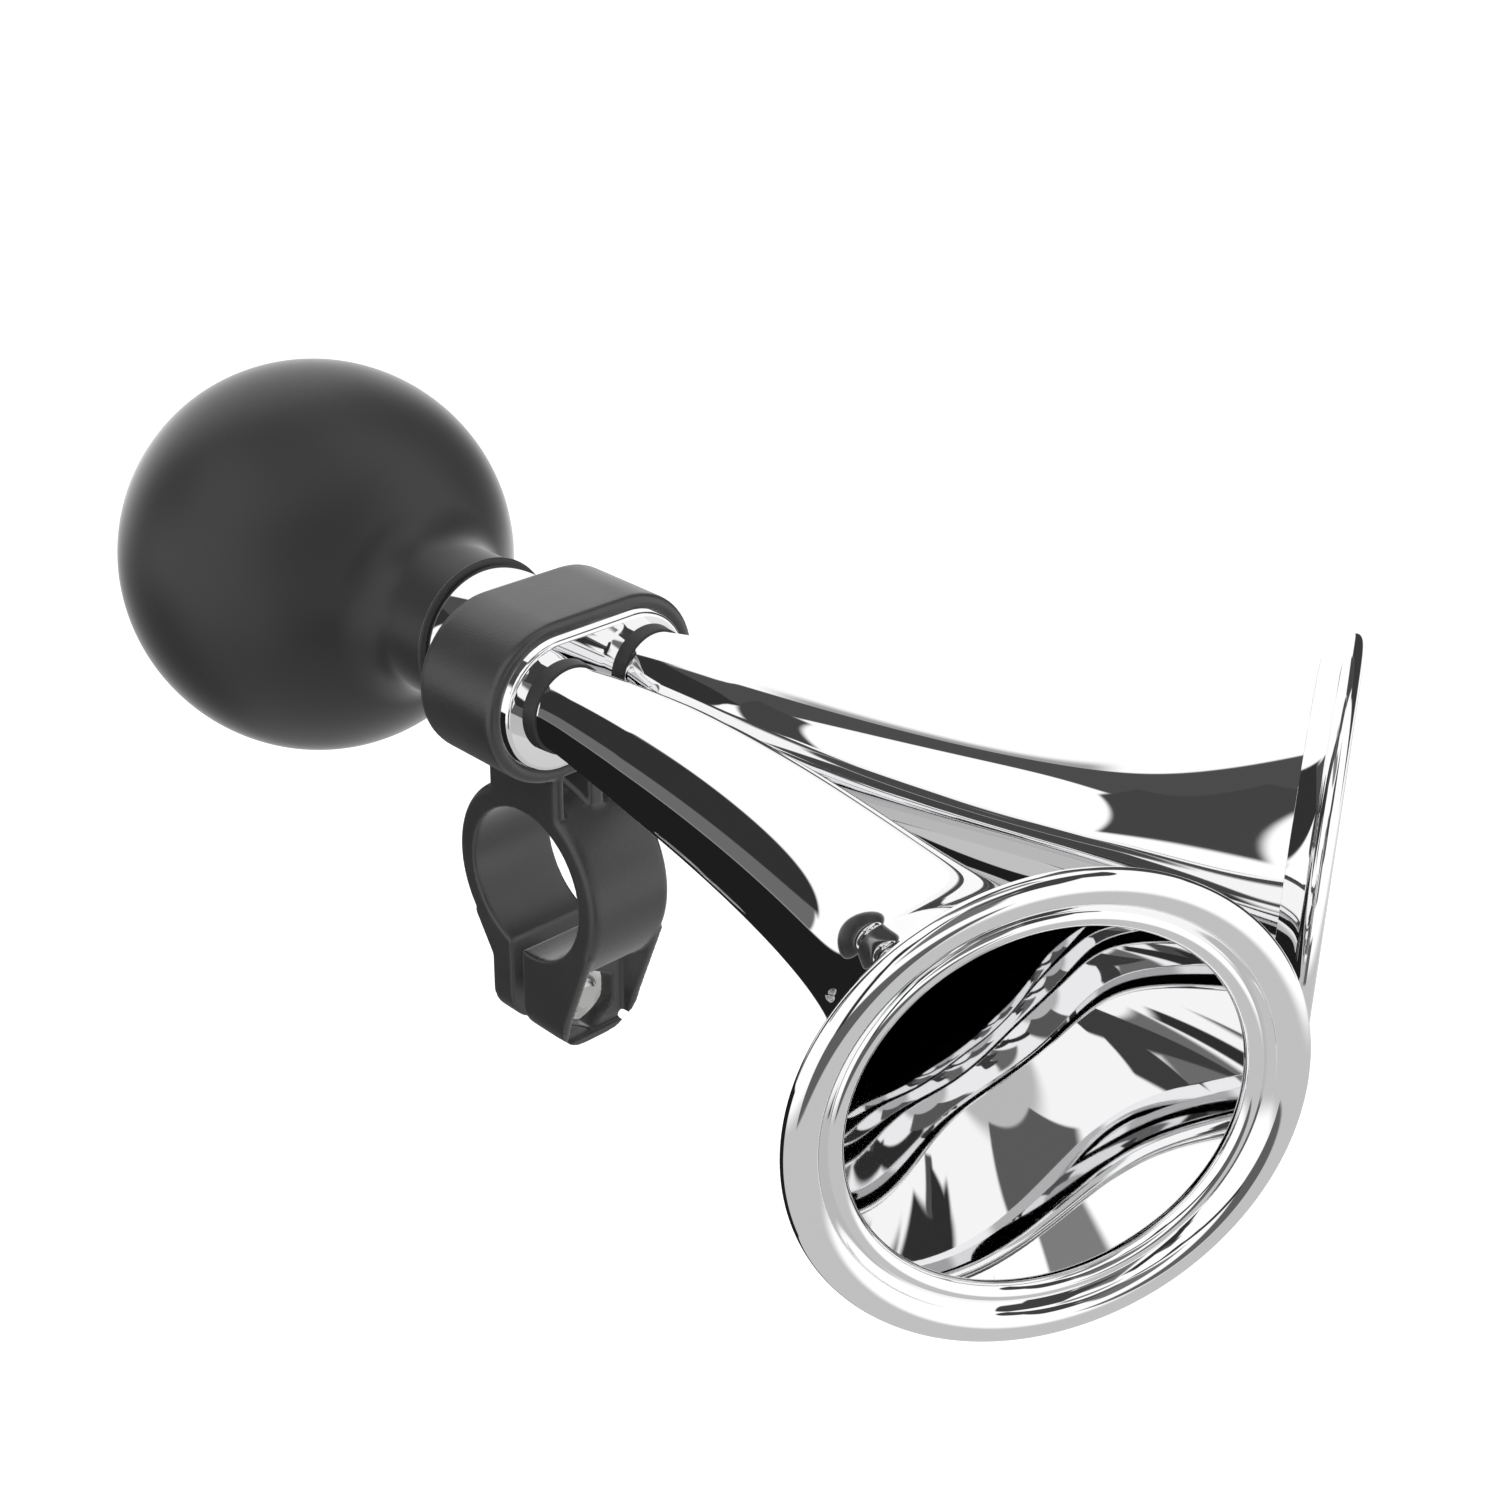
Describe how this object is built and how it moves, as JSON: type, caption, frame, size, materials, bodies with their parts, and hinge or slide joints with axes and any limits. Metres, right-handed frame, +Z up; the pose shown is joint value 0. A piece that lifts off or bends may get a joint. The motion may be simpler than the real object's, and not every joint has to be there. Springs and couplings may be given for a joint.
{
  "type": "bicycle bulb horn",
  "caption": "Squeeze-bulb bicycle horn: curved chrome trumpets of unequal length fan out from a black band, with a round rubber bulb behind and a ring clamp for the handlebar below.",
  "frame": {"origin": "centre of the handlebar clamp's bore, on the handlebar's axis, in the middle of the clamp's width", "axes": "+X the way the trumpets point, +Y along the handlebar towards the short trumpet's side, +Z up, from the clamp to the horn"},
  "size_m": [0.208, 0.1057, 0.0839],
  "materials": {
    "chrome": "polished chrome plate",
    "black_plastic": "moulded black plastic with a fine grain",
    "bulb_rubber": "smooth satin black rubber",
    "seal_rubber": "plain black rubber",
    "steel": "zinc-plated steel",
    "brass": "plain machined brass"
  },
  "bodies": {
    "horn": {"bracket": "black_plastic", "clamp_nut": "steel", "manifold_shell": "chrome", "manifold_seal": "seal_rubber", "manifold_cap": "chrome", "collar": "chrome", "collar_washer": "seal_rubber", "neck_seal_long": "seal_rubber", "neck_seal_short": "seal_rubber", "trumpet_long": "chrome", "trumpet_short": "chrome", "bell_long": "chrome", "bell_short": "chrome", "reed_body_long": "brass", "reed_body_short": "brass", "reed_wedge_long": "brass", "reed_wedge_short": "brass"},
    "bulb": {"bulb": "bulb_rubber"},
    "bolt": {"clamp_bolt": "steel"},
    "long_tongue": {"reed_tongue_long": "brass"},
    "short_tongue": {"reed_tongue_short": "brass"}
  },
  "joints": [
    {"name": "bulb_squeeze", "type": "slide", "parent": "horn", "child": "bulb", "axis": [1, 0, 0], "range_m": [0, 0.015], "stiffness_N_per_m": 600, "deforming": ["bulb"]},
    {"name": "long_reed", "type": "hinge", "parent": "horn", "child": "long_tongue", "pos_m": [0.0014, -0.0066, 0.03082], "axis": [0, 1, 0], "range_deg": [-2.2, 2], "stiffness_Nm_per_rad": 0.004},
    {"name": "short_reed", "type": "hinge", "parent": "horn", "child": "short_tongue", "pos_m": [0.0014, 0.008, 0.03187], "axis": [0, 1, 0], "range_deg": [-2.2, 2], "stiffness_Nm_per_rad": 0.004},
    {"name": "bolt_turn", "type": "hinge", "parent": "horn", "child": "bolt", "pos_m": [0, 0, -0.0191], "axis": [1, 0, 0], "continuous": true}
  ]
}
